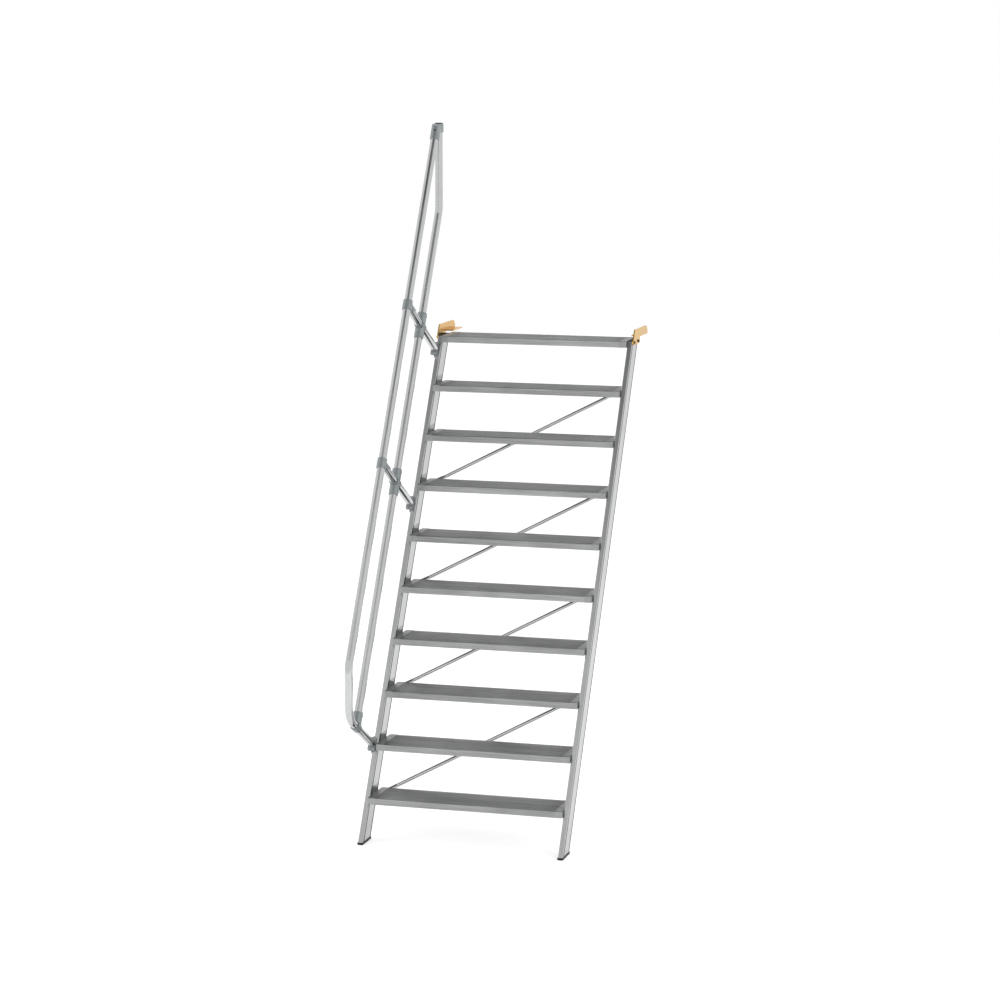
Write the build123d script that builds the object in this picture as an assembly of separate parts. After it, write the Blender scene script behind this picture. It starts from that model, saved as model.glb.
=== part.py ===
from build123d import *
import os
from math import cos, radians, sin, tan

# Steep industrial stair in aluminium: two raking stringers, ten ribbed treads, diagonal tie bars
# behind the treads, a tube guard rail on the left side and two plated brackets that hook the
# stair over the edge of a landing. Lengths are in millimetres.
# The stair is set out with X across it (0 on the centre line), Y going back and Z up from the floor.

# Flight
SLOPE = 60.0
TREADS = 10
FIRST_RISE = 222.0
RISE = 242.0
STEP_WIDTH = 1000.0
TOP_TREAD = FIRST_RISE + (TREADS - 1) * RISE

# Stringers: hollow extrusion with two shadow grooves along each side
STRINGER_WIDTH = 25.0
STRINGER_DEPTH = 112.0
STRINGER_WALL = 2.5
STRINGER_CORNER = 4.0
STRINGER_INNER_CORNER = 1.5
GROOVE_WIDTH = 3.0
GROOVE_DEPTH = 1.0
GROOVE_FROM_FRONT = 15.0
GROOVE_FROM_BACK = 11.0

# Feet and top caps of the stringers
SOLE_THICKNESS = 12.0
SOLE_OVERHANG = 2.5
SOLE_CHAMFER = 3.0
SPIGOT_LENGTH = 25.0
SPIGOT_CLEARANCE = 0.3
TOP_CAP_THICKNESS = 3.0

# Treads: ribbed extrusion, open below
TREAD_DEPTH = 225.0
TREAD_HEIGHT = 34.0
TREAD_LIP = 37.0
TREAD_TOP_WALL = 4.5
TREAD_WALL = 3.0
TREAD_FOOT = 12.0
TREAD_WEBS = 2
NOSE_ROUND = 4.0
RIB_HEIGHT = 1.5
RIB_WIDTH = 4.0
RIB_PITCH = 9.0
RIB_MARGIN = 14.0

# Cast end pieces of the treads
CAP_WIDTH = 38.0
CAP_WALL = 5.0
CAP_CORNER = 14.0

# Tie bars behind the treads, each over two rises
TIE_DIAMETER = 20.0
TIE_TREADS = 2
TIE_STARTS = (1, 3, 5, 7)
TIE_INSET = 30.0
TIE_DROP = 17.0
TIE_STANDOFF = 24.0
TAB_THICKNESS = 5.0
TAB_WIDTH = 24.0
TAB_HOLE = 9.0
TAB_FLAT = 26.0
TAB_TO_TUBE = 48.0

# Guard rail on the left side
TUBE_DIAMETER = 40.0
TUBE_WALL = 2.0
RAIL_OUTSET = 5.0
HANDRAIL_OFF = 546.0
KNEE_RAIL_OFF = 294.0
FOOT_POST_ALONG = 523.0
LOWER_POST_ALONG = 1820.0
UPPER_POST_ALONG = 2690.0
GUARD_FRONT_Y = -99.0
GUARD_TOP_Y = 1424.5
BEND_RADIUS = 110.0
PLUG_HEIGHT = 4.0
PLUG_CHAMFER = 1.5

# Rail connectors: castings that clamp round the tubes
SLEEVE_WALL = 4.5
TEE_LENGTH = 52.0
TEE_ARM = 96.0
CROSS_LENGTH = 140.0
CROSS_ARM = 10.0
END_TEE_LENGTH = 74.0
ELBOW_RUN = 46.0
ELBOW_BRANCH = 60.0
ELBOW_HEAD = 28.5
ELBOW_FALL = 12.0
ELBOW_WEB = 30.0

# Post brackets on the front of the left stringer
BRACKET_PLATE = 8.0
BRACKET_LENGTH = 72.0
BRACKET_CORNER = 8.0
BRACKET_CHEEK = 6.0
BRACKET_CHEEK_LENGTH = 90.0
BRACKET_SIDE = 62.0

# Landing brackets: plated steel plates on the outer sides of the stringers
HOOK_PLATE = 6.0
HOOK_OVER_TREAD = 9.0
HOOK_REACH = 303.0
HOOK_ARM_HEIGHT = 45.0
HOOK_ARM_START = 135.0
HOOK_END_ROUND = 38.0
HOOK_LEG_DROP = 33.0
HOOK_LEG_CORNER = 14.0
HOOK_FLANGE = 40.0
ANCHOR_HOLE = 11.0
ANCHOR_SPACING = 90.0
LEG_BOLT = 8.0
LEG_BOLT_HEAD = 13.0
LEG_BOLT_HEIGHT = 5.5
LEG_BOLT_DROP = 20.0
LEG_BOLT_FIRST = 8.0
LEG_BOLT_SPACING = 90.0

# Worked-out places
ALONG = Vector(0, cos(radians(SLOPE)), sin(radians(SLOPE)))
OUT = Vector(0, -sin(radians(SLOPE)), cos(radians(SLOPE)))
STRINGER_FLAT = STRINGER_DEPTH / sin(radians(SLOPE))
TUBE_RADIUS = TUBE_DIAMETER / 2
SLEEVE_RADIUS = TUBE_RADIUS + SLEEVE_WALL
OUTER_X = STEP_WIDTH / 2 + STRINGER_WIDTH
RAIL_X = -(OUTER_X + RAIL_OUTSET)
LANDING_Z = TOP_TREAD + HOOK_OVER_TREAD
HOOK_FRONT_Y = LANDING_Z / tan(radians(SLOPE))
HOOK_END_Y = HOOK_FRONT_Y + HOOK_REACH
FLANGE_FROM_Y = HOOK_FRONT_Y + HOOK_ARM_START
ANCHOR_Y = (FLANGE_FROM_Y + HOOK_END_Y) / 2
# The origin of the part: the middle of the left landing flange's underside
ORIGIN = Vector(-(OUTER_X - HOOK_FLANGE / 2), ANCHOR_Y, LANDING_Z)


def on_slope(along, off, x=0.0):
    """Point from its distance up the stringers' front face and its distance in front of it."""
    return Vector(x, 0, 0) + ALONG * along + OUT * off


def tread_top(number):
    """Height of a tread's walking surface."""
    return FIRST_RISE + (number - 1) * RISE


def tread_front(number):
    """Place of a tread's nose."""
    return tread_top(number) / tan(radians(SLOPE)) - TREAD_LIP


def save(name, shape):
    """Write one node, moved so that the part's origin is where it is mounted."""
    export_step(Pos(*(-ORIGIN)) * shape, f"parts/{name}.step")


def level_slab(low, high):
    """Everything between two heights, for cutting the stringers level."""
    size = 3 * (TOP_TREAD + STRINGER_DEPTH)
    slab = Box(size, size, high - low, align=(Align.CENTER, Align.CENTER, Align.MIN))
    return Pos(0, 0, low) * slab


def stringer_section():
    """Outer outline of the stringer, with its shadow grooves."""
    face = RectangleRounded(STRINGER_WIDTH, STRINGER_DEPTH, STRINGER_CORNER)
    front = -STRINGER_DEPTH / 2 + GROOVE_FROM_FRONT
    back = STRINGER_DEPTH / 2 - GROOVE_FROM_BACK
    for x in (-STRINGER_WIDTH / 2, STRINGER_WIDTH / 2):
        for y in (front, back):
            face -= Pos(x, y) * Rectangle(2 * GROOVE_DEPTH, GROOVE_WIDTH)
    return face


def stringer_hollow(clearance=0.0):
    """Outline of the space inside the stringer."""
    less = 2 * (STRINGER_WALL + clearance)
    return RectangleRounded(STRINGER_WIDTH - less, STRINGER_DEPTH - less, STRINGER_INNER_CORNER)


def rake(face, x):
    """Run an outline the whole way up the slope, past both ends, at one side of the stair."""
    over = 2 * STRINGER_DEPTH
    start = on_slope(-over, -STRINGER_DEPTH / 2, x)
    plane = Plane(origin=start, x_dir=(1, 0, 0), z_dir=ALONG)
    length = TOP_TREAD / sin(radians(SLOPE)) + 2 * over
    return extrude(plane * face, length)


def stringer(x):
    """One stringer, cut level above its foot and under its top cap."""
    tube = rake(stringer_section() - stringer_hollow(), x)
    return tube & level_slab(SOLE_THICKNESS, TOP_TREAD - TOP_CAP_THICKNESS)


def level_outline(height, grow):
    """Outline of the cut stringer at one height, grown all round."""
    middle = height / tan(radians(SLOPE)) + STRINGER_FLAT / 2
    face = RectangleRounded(STRINGER_WIDTH + 2 * grow, STRINGER_FLAT + 2 * grow, STRINGER_CORNER)
    return Pos(0, middle, height) * face


def spigot(x, low, high):
    """The part of an end cap that plugs into the stringer."""
    return rake(stringer_hollow(SPIGOT_CLEARANCE), x) & level_slab(low, high)


def foot(x):
    """Black foot of a stringer: a rounded sole with a plug."""
    outline = Pos(0, 0, -SOLE_THICKNESS) * level_outline(SOLE_THICKNESS, SOLE_OVERHANG)
    sole = Pos(x, 0, 0) * extrude(outline, SOLE_THICKNESS)
    sole = chamfer(sole.edges().group_by(Axis.Z)[0], SOLE_CHAMFER)
    return sole + spigot(x, SOLE_THICKNESS, SOLE_THICKNESS + SPIGOT_LENGTH)


def top_cap(x):
    """Flat cap that closes the top of a stringer, with a plug."""
    low = TOP_TREAD - TOP_CAP_THICKNESS
    cap = Pos(x, 0, 0) * extrude(level_outline(low, 0.0), TOP_CAP_THICKNESS)
    return cap + spigot(x, low - SPIGOT_LENGTH, low)


def tread_section():
    """Outline of the tread extrusion: Y from the nose, Z from the walking surface."""
    plate = Rectangle(TREAD_DEPTH, TREAD_HEIGHT - RIB_HEIGHT)
    nose = plate.vertices().sort_by(Axis.X)[:2].sort_by(Axis.Y)[-1]
    face = Pos(TREAD_DEPTH / 2, -(TREAD_HEIGHT + RIB_HEIGHT) / 2) * fillet(nose, NOSE_ROUND)
    under = TREAD_HEIGHT - TREAD_TOP_WALL
    hollow = Rectangle(TREAD_DEPTH - 2 * TREAD_WALL, under)
    face -= Pos(TREAD_DEPTH / 2, -TREAD_TOP_WALL - under / 2) * hollow
    for y in (TREAD_WALL + TREAD_FOOT / 2, TREAD_DEPTH - TREAD_WALL - TREAD_FOOT / 2):
        face += Pos(y, -TREAD_HEIGHT + TREAD_WALL / 2) * Rectangle(TREAD_FOOT, TREAD_WALL)
    for web in range(TREAD_WEBS):
        y = TREAD_DEPTH * (web + 1) / (TREAD_WEBS + 1)
        face += Pos(y, -TREAD_TOP_WALL - under / 2) * Rectangle(TREAD_WALL, under)
    ribs = int((TREAD_DEPTH - 2 * RIB_MARGIN) / RIB_PITCH) + 1
    first = (TREAD_DEPTH - (ribs - 1) * RIB_PITCH) / 2
    for rib in range(ribs):
        # each rib is rooted one height deep in the plate
        y = first + rib * RIB_PITCH
        face += Pos(y, -RIB_HEIGHT) * Rectangle(RIB_WIDTH, 2 * RIB_HEIGHT)
    return face


def place_tread(number):
    """Where a tread's outline stands, on the centre line."""
    return Pos(0, tread_front(number), tread_top(number))


def tread(number):
    """The ribbed extrusion of one tread, between its two end pieces."""
    length = STEP_WIDTH - 2 * CAP_WIDTH
    return place_tread(number) * extrude(Plane.YZ * tread_section(), length / 2, both=True)


def tread_cap(number, side):
    """Smooth cast end piece of a tread, against the stringer: side is -1 left, 1 right."""
    block = Box(CAP_WIDTH, TREAD_DEPTH, TREAD_HEIGHT, align=(Align.MIN, Align.MIN, Align.MAX))
    corner = block.edges().filter_by(Axis.Z).sort_by(lambda e: e.center().X - e.center().Y)[0]
    block = fillet(corner, CAP_CORNER)
    nose = block.edges().group_by(Axis.Z)[-1].sort_by(Axis.Y)[0]
    block = fillet(nose, NOSE_ROUND)
    length = TREAD_DEPTH - 2 * CAP_WALL
    hollow = Box(CAP_WIDTH, length, TREAD_HEIGHT, align=(Align.MIN, Align.MIN, Align.MAX))
    block -= Pos(CAP_WALL, CAP_WALL, -CAP_WALL) * hollow
    first_tied = 0 if side < 0 else TIE_TREADS
    if number - first_tied in TIE_STARTS:
        bolt = Cylinder(TAB_HOLE / 2, 3 * CAP_WALL, rotation=(90, 0, 0))
        block -= Pos(TIE_INSET, TREAD_DEPTH, -TIE_DROP) * bolt
    block = Pos(-STEP_WIDTH / 2, 0, 0) * block
    if side > 0:
        block = block.mirror(Plane.YZ)
    return place_tread(number) * block


def tie_end(number, side):
    """Bolt point of a tie bar, on the back face of a tread's end piece."""
    x = side * (STEP_WIDTH / 2 - TIE_INSET)
    return Vector(x, tread_front(number) + TREAD_DEPTH, tread_top(number) - TIE_DROP)


def tie_tab(bolt, direction):
    """Flattened end of a tie bar: a bolted tab that swells into the tube's round."""
    level = Vector(direction.X, 0, direction.Z).normalized()
    plane = Plane(origin=bolt, x_dir=level, z_dir=(0, 1, 0))
    outline = Pos(TAB_FLAT / 2, 0) * Rectangle(TAB_FLAT, TAB_WIDTH) + Circle(TAB_WIDTH / 2)
    tab = extrude(plane * (outline - Circle(TAB_HOLE / 2)), TAB_THICKNESS)
    root = bolt + level * TAB_FLAT + Vector(0, TAB_THICKNESS / 2, 0)
    flat = Plane(origin=root, z_dir=level, x_dir=(0, 1, 0)) * Rectangle(TAB_THICKNESS, TAB_WIDTH)
    centre = bolt + Vector(0, TIE_STANDOFF, 0) + direction * TAB_TO_TUBE
    round_end = Plane(origin=centre, z_dir=direction, x_dir=(0, 1, 0)) * Circle(TIE_DIAMETER / 2)
    return tab + loft([flat.face(), round_end.face()], ruled=True)


def tie_bar(start):
    """One tie bar, from a tread's left end up to the right end two treads higher."""
    low = tie_end(start, -1)
    high = tie_end(start + TIE_TREADS, 1)
    direction = (high - low).normalized()
    standoff = Vector(0, TIE_STANDOFF, 0)
    foot_centre = low + standoff + direction * TAB_TO_TUBE
    length = (high - low).length - 2 * TAB_TO_TUBE
    tube = Plane(origin=foot_centre, z_dir=direction) * Circle(TIE_DIAMETER / 2)
    bar = extrude(tube, length)
    return tie_tab(low, direction) + bar + tie_tab(high, -direction)


def tube_along(path):
    """Hollow round tube along a path in one upright plane."""
    ring = Circle(TUBE_RADIUS) - Circle(TUBE_RADIUS - TUBE_WALL)
    start = Plane(origin=path @ 0, z_dir=path % 0, x_dir=(1, 0, 0))
    return sweep(start * ring, path)


def straight_tube(low, high):
    """Straight piece of the rail tube between two points."""
    return tube_along(Line(low, high))


def rod(low, high, radius):
    """Solid round bar between two points."""
    bar = Cylinder(radius, (high - low).length, align=(Align.CENTER, Align.CENTER, Align.MIN))
    return Plane(origin=low, z_dir=high - low, x_dir=(1, 0, 0)) * bar


def rail_at(along, off):
    """Point on the guard rail's upright plane."""
    return on_slope(along, off, RAIL_X)


def along_at_y(off, y):
    """How far up the slope a line at one distance in front of the stringer reaches a given Y."""
    return (y + off * sin(radians(SLOPE))) / cos(radians(SLOPE))


def upright_y_on_post(along):
    """Distance in front of the stringer at which a square post meets the front upright."""
    return (along * cos(radians(SLOPE)) - GUARD_FRONT_Y) / sin(radians(SLOPE))


HANDRAIL_END = along_at_y(HANDRAIL_OFF, GUARD_TOP_Y - SLEEVE_RADIUS) - 2 * SLEEVE_RADIUS
GUARD_TOP_Z = rail_at(HANDRAIL_END, HANDRAIL_OFF).Z + ELBOW_HEAD


def handrail():
    """Handrail with its lower end bent down and back to the foot of the stringer."""
    path = FilletPolyline(
        rail_at(FOOT_POST_ALONG, BRACKET_PLATE),
        rail_at(FOOT_POST_ALONG, upright_y_on_post(FOOT_POST_ALONG)),
        rail_at(along_at_y(HANDRAIL_OFF, GUARD_FRONT_Y), HANDRAIL_OFF),
        rail_at(HANDRAIL_END, HANDRAIL_OFF),
        radius=BEND_RADIUS,
    )
    return tube_along(path)


def knee_rail():
    """Knee rail, bent upright at its top end to carry the end of the handrail."""
    path = FilletPolyline(
        rail_at(FOOT_POST_ALONG + TUBE_RADIUS, KNEE_RAIL_OFF),
        rail_at(along_at_y(KNEE_RAIL_OFF, GUARD_TOP_Y), KNEE_RAIL_OFF),
        Vector(RAIL_X, GUARD_TOP_Y, GUARD_TOP_Z),
        radius=BEND_RADIUS,
    )
    return tube_along(path)


def post(along):
    """Post square to the stringer, in two lengths that meet the knee rail."""
    lower = straight_tube(rail_at(along, BRACKET_PLATE), rail_at(along, KNEE_RAIL_OFF - TUBE_RADIUS))
    upper = straight_tube(
        rail_at(along, KNEE_RAIL_OFF + TUBE_RADIUS), rail_at(along, HANDRAIL_OFF - TUBE_RADIUS)
    )
    return lower, upper


def clear_tube(shape, low, high):
    """Cut a tube's round path out of a connector."""
    return shape - rod(low, high, TUBE_RADIUS)


def past_cut(bare, tip):
    """Everything past a slanted cut across a connector's arm, from its bare side to its tip."""
    size = 2 * (tip - bare).length + 4 * SLEEVE_RADIUS
    cut = Plane(origin=(bare + tip) / 2, x_dir=tip - bare, z_dir=(1, 0, 0))
    return cut * Pos(0, -size / 2, 0) * Box(size, size, size)


def handrail_tee(along):
    """Tee connector on the handrail, with a tongue down the upper side of the post."""
    half = TEE_LENGTH / 2
    run_low = rail_at(along - half, HANDRAIL_OFF)
    run_high = rail_at(along + half, HANDRAIL_OFF)
    arm_low = rail_at(along, HANDRAIL_OFF - TUBE_RADIUS - TEE_ARM)
    arm_high = rail_at(along, HANDRAIL_OFF - TUBE_RADIUS / 2)
    bare = rail_at(along - SLEEVE_RADIUS, HANDRAIL_OFF - SLEEVE_RADIUS)
    tip = rail_at(along + SLEEVE_RADIUS, HANDRAIL_OFF - TUBE_RADIUS - TEE_ARM)
    arm = rod(arm_low, arm_high, SLEEVE_RADIUS) - past_cut(bare, tip)
    body = rod(run_low, run_high, SLEEVE_RADIUS) + arm
    body = clear_tube(body, run_low, run_high)
    return clear_tube(body, arm_low, arm_high)


def knee_cross(along):
    """Cross connector where a post passes the knee rail."""
    half = CROSS_LENGTH / 2
    reach = TUBE_RADIUS + CROSS_ARM
    run_low = rail_at(along - half, KNEE_RAIL_OFF)
    run_high = rail_at(along + half, KNEE_RAIL_OFF)
    arm_low = rail_at(along, KNEE_RAIL_OFF - reach)
    arm_high = rail_at(along, KNEE_RAIL_OFF + reach)
    body = rod(run_low, run_high, SLEEVE_RADIUS) + rod(arm_low, arm_high, SLEEVE_RADIUS)
    body = clear_tube(body, run_low, run_high)
    return clear_tube(body, arm_low, arm_high)


def knee_end_tee():
    """Connector that holds the knee rail's lower end to the foot post."""
    run_low = rail_at(FOOT_POST_ALONG, KNEE_RAIL_OFF)
    run_high = rail_at(FOOT_POST_ALONG + END_TEE_LENGTH, KNEE_RAIL_OFF)
    arm_low = rail_at(FOOT_POST_ALONG, KNEE_RAIL_OFF - SLEEVE_RADIUS)
    arm_high = rail_at(FOOT_POST_ALONG, KNEE_RAIL_OFF + SLEEVE_RADIUS)
    body = rod(run_low, run_high, SLEEVE_RADIUS) + rod(arm_low, arm_high, SLEEVE_RADIUS)
    past = rail_at(FOOT_POST_ALONG + TUBE_RADIUS, KNEE_RAIL_OFF)
    body = clear_tube(body, past, run_high)
    return clear_tube(body, arm_low, arm_high)


def top_elbow():
    """Connector between the handrail's end and the top of the upright, closed over the handrail."""
    run_low = Vector(RAIL_X, GUARD_TOP_Y, GUARD_TOP_Z - ELBOW_RUN)
    run_high = Vector(RAIL_X, GUARD_TOP_Y, GUARD_TOP_Z)
    branch_low = rail_at(HANDRAIL_END - ELBOW_BRANCH, HANDRAIL_OFF)
    branch_high = rail_at(HANDRAIL_END + 2 * SLEEVE_RADIUS, HANDRAIL_OFF)
    branch = rod(branch_low, branch_high, SLEEVE_RADIUS)
    front = rail_at(HANDRAIL_END, HANDRAIL_OFF).Y
    web = Box(ELBOW_WEB, GUARD_TOP_Y - front, ELBOW_RUN, align=(Align.CENTER, Align.MIN, Align.MAX))
    web = Pos(RAIL_X, front, GUARD_TOP_Z) * web
    fall = tan(radians(ELBOW_FALL))
    roof_low = Vector(RAIL_X, GUARD_TOP_Y - ELBOW_RUN, GUARD_TOP_Z - (ELBOW_RUN - TUBE_RADIUS) * fall)
    roof_high = Vector(RAIL_X, GUARD_TOP_Y - TUBE_RADIUS, GUARD_TOP_Z)
    arm = branch + web - past_cut(roof_high, roof_low) - level_slab(GUARD_TOP_Z, GUARD_TOP_Z + SLEEVE_RADIUS)
    body = rod(run_low, run_high, SLEEVE_RADIUS) + arm
    body = clear_tube(body, run_low, run_high)
    return clear_tube(body, branch_low, rail_at(HANDRAIL_END, HANDRAIL_OFF))


def rail_plug():
    """Black plug in the open top of the upright."""
    base = Vector(RAIL_X, GUARD_TOP_Y, GUARD_TOP_Z)
    head = Cylinder(TUBE_RADIUS, PLUG_HEIGHT, align=(Align.CENTER, Align.CENTER, Align.MIN))
    head = chamfer(head.edges().group_by(Axis.Z)[-1], PLUG_CHAMFER)
    shank_radius = TUBE_RADIUS - TUBE_WALL - SPIGOT_CLEARANCE
    shank = Cylinder(shank_radius, SPIGOT_LENGTH, align=(Align.CENTER, Align.CENTER, Align.MAX))
    return Pos(*base) * (head + shank)


def post_bracket(along):
    """Angle bracket that carries a post: a plate over the stringer's front and a cheek on its side."""
    plate = Box(TUBE_DIAMETER, BRACKET_PLATE, BRACKET_LENGTH)
    plate = fillet(plate.edges().filter_by(Axis.Y), BRACKET_CORNER)
    face = Plane(origin=rail_at(along, BRACKET_PLATE / 2), x_dir=(1, 0, 0), z_dir=ALONG)
    cheek = Box(BRACKET_CHEEK, BRACKET_SIDE, BRACKET_CHEEK_LENGTH)
    cheek = fillet(cheek.edges().filter_by(Axis.X), BRACKET_CORNER)
    side_x = -OUTER_X - BRACKET_CHEEK / 2
    side = Plane(origin=on_slope(along, -BRACKET_SIDE / 2, side_x), x_dir=(1, 0, 0), z_dir=ALONG)
    return face * plate + side * cheek


def hook_outline():
    """Side outline of a landing bracket: a leg down the stringer and an arm back over the landing."""
    lean = 1 / tan(radians(SLOPE))
    points = [
        (HOOK_ARM_HEIGHT * lean, HOOK_ARM_HEIGHT),
        (HOOK_REACH, HOOK_ARM_HEIGHT),
        (HOOK_REACH, 0),
        (HOOK_ARM_START, 0),
        (HOOK_ARM_START, -HOOK_LEG_DROP),
        (-HOOK_LEG_DROP * lean, -HOOK_LEG_DROP),
    ]
    face = make_face(Polyline(*points, close=True))
    face = fillet(face.vertices().group_by(Axis.Y)[0], HOOK_LEG_CORNER)
    rear = face.vertices().group_by(Axis.Y)[-1].sort_by(Axis.X)[-1]
    return fillet(rear, HOOK_END_ROUND)


def leg_bolt_place(count):
    """Place of a leg bolt on the left bracket's inner face, counted from the front."""
    y = HOOK_FRONT_Y + LEG_BOLT_FIRST + count * LEG_BOLT_SPACING
    return Pos(-OUTER_X, y, LANDING_Z - LEG_BOLT_DROP) * Rot(0, -90, 0)


def landing_bracket():
    """Plated bracket on the left stringer, with holes for its leg bolts and for anchors."""
    plate = extrude(Plane.YZ * hook_outline(), -HOOK_PLATE)
    length = HOOK_REACH - HOOK_ARM_START
    flange = Box(HOOK_FLANGE, length, HOOK_PLATE, align=(Align.MIN, Align.MIN, Align.MIN))
    shape = plate + Pos(0, HOOK_ARM_START, 0) * flange
    middle = HOOK_ARM_START + length / 2
    for y in (middle - ANCHOR_SPACING / 2, middle + ANCHOR_SPACING / 2):
        shape -= Pos(HOOK_FLANGE / 2, y, 0) * Cylinder(ANCHOR_HOLE / 2, 4 * HOOK_PLATE)
    shape = Pos(-OUTER_X, HOOK_FRONT_Y, LANDING_Z) * shape
    for count in range(2):
        shape -= leg_bolt_place(count) * Cylinder(LEG_BOLT / 2, 4 * HOOK_PLATE)
    return shape


def leg_bolts():
    """The two hexagon bolts that hold the left bracket to its stringer."""
    shank = Cylinder(LEG_BOLT / 2, HOOK_PLATE, align=(Align.CENTER, Align.CENTER, Align.MIN))
    hexagon = RegularPolygon(LEG_BOLT_HEAD / 2, 6, major_radius=False)
    bolt = shank + Pos(0, 0, HOOK_PLATE) * extrude(hexagon, LEG_BOLT_HEIGHT)
    return Compound([leg_bolt_place(count) * bolt for count in range(2)])


os.makedirs("parts", exist_ok=True)

STRINGER_X = STEP_WIDTH / 2 + STRINGER_WIDTH / 2
for name, x in (("left", -STRINGER_X), ("right", STRINGER_X)):
    save(f"{name}_stringer", stringer(x))
    save(f"{name}_foot", foot(x))
    save(f"{name}_stringer_cap", top_cap(x))

for number in range(1, TREADS + 1):
    save(f"tread_{number:02d}", tread(number))
for name, side in (("left", -1), ("right", 1)):
    caps = [tread_cap(number, side) for number in range(1, TREADS + 1)]
    save(f"{name}_tread_ends", Compound(caps))

save("left_landing_bracket", landing_bracket())
save("right_landing_bracket", landing_bracket().mirror(Plane.YZ))
save("left_leg_bolts", leg_bolts())
save("right_leg_bolts", leg_bolts().mirror(Plane.YZ))

for count, start in enumerate(TIE_STARTS, start=1):
    save(f"tie_bar_{count}", tie_bar(start))

save("handrail", handrail())
save("knee_rail", knee_rail())
for name, along in (("lower", LOWER_POST_ALONG), ("upper", UPPER_POST_ALONG)):
    save(f"{name}_post", Compound(list(post(along))))
    save(f"{name}_handrail_tee", handrail_tee(along))
    save(f"{name}_knee_cross", knee_cross(along))
    save(f"{name}_post_bracket", post_bracket(along))
save("foot_post_bracket", post_bracket(FOOT_POST_ALONG))
save("knee_end_tee", knee_end_tee())
save("top_elbow", top_elbow())
save("rail_plug", rail_plug())
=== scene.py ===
"""Dressed model of a steep aluminium stair with a guard rail on its left side.

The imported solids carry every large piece. This script gives each of them its finish, adds the small
bolts and screws that hold the stair together, and sets up the studio.
"""

from __future__ import annotations

import logging
import math
from dataclasses import dataclass, field
from enum import Enum

import bpy
from mathutils import Matrix, Vector


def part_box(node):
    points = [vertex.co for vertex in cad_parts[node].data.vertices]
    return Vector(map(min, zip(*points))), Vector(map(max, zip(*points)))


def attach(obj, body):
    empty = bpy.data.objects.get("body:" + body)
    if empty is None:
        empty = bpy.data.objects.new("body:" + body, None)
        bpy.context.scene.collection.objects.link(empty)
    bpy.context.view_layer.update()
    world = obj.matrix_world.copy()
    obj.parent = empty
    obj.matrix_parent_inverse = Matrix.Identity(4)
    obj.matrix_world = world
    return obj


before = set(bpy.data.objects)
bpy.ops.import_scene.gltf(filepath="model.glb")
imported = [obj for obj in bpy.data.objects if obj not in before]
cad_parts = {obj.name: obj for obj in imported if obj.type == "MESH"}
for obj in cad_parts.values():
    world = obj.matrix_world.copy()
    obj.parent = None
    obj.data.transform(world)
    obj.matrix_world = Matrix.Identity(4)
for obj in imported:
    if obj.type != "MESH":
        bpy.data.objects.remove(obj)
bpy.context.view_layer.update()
LOG = logging.getLogger("stair")
MM = 0.001

Triple = tuple[float, float, float]

# Shade-and-soil colour: real soil in the grooves, and painted shade in the grooves, above the treads
# and at the tread ends.
SHADE_AND_GRIME_COLOUR = (0.03, 0.03, 0.03, 1.0)
DUST_COLOUR = (0.55, 0.53, 0.49, 1.0)
BARE_ZINC = (0.6, 0.58, 0.55, 1.0)
WHITE = (1.0, 1.0, 1.0, 1.0)


class Side(Enum):
    """The two sides of the stair, seen by someone about to climb it."""

    LEFT = -1
    RIGHT = 1

    @property
    def word(self) -> str:
        """Name of the side as the nodes spell it."""
        return self.name.lower()


class Head(Enum):
    """Kinds of screw head used on the stair, by their number of corners."""

    HEXAGON = 6
    ROUND = 32


@dataclass(frozen=True)
class SettingOut:
    """How the stair is set out, in millimetres: X across, Y back, Z up from the floor."""

    slope: float = 60.0
    first_rise: float = 222.0
    rise: float = 242.0
    step_width: float = 1000.0
    stringer_width: float = 25.0
    tread_depth: float = 225.0
    tread_lip: float = 37.0
    tread_half: float = 462.0
    sole_front: float = 4.43

    def origin(self) -> Vector:
        """Place of the setting-out's zero in the model, in metres."""
        left_low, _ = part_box("left_stringer")
        _, right_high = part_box("right_stringer")
        foot_low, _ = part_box("left_foot")
        front = foot_low.y - self.sole_front * MM
        return Vector(((left_low.x + right_high.x) / 2, front, foot_low.z))

    def place(self, x: float, y: float, z: float) -> Vector:
        """Turn a setting-out point into a point of the model.

        Args:
            x: Across the stair, from its centre line.
            y: Back from the line where the stringers' front face meets the floor.
            z: Up from the floor.

        Returns:
            The point in metres.
        """
        return self.origin() + Vector((x, y, z)) * MM

    def along(self) -> Vector:
        """Unit vector up the slope."""
        turn = math.radians(self.slope)
        return Vector((0.0, math.cos(turn), math.sin(turn)))

    def out(self) -> Vector:
        """Unit vector square to the stringers' front face, towards the climber."""
        turn = math.radians(self.slope)
        return Vector((0.0, -math.sin(turn), math.cos(turn)))

    def on_slope(self, along: float, off: float, x: float) -> Vector:
        """Point from its distance up the stringers' front face and its distance in front of it.

        Args:
            along: Distance up the slope.
            off: Distance in front of the stringers' front face.
            x: Across the stair.

        Returns:
            The point in metres.
        """
        return self.place(x, 0.0, 0.0) + (self.along() * along + self.out() * off) * MM

    def tread_top(self, number: int) -> float:
        """Height of a tread's walking surface.

        Args:
            number: The tread's number, from 1 at the bottom.

        Returns:
            The height above the floor.
        """
        return self.first_rise + (number - 1) * self.rise

    def tread_back(self, number: int) -> float:
        """Place of a tread's back face.

        Args:
            number: The tread's number, from 1 at the bottom.

        Returns:
            Its distance back.
        """
        nose = self.tread_top(number) / math.tan(math.radians(self.slope)) - self.tread_lip
        return nose + self.tread_depth


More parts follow.
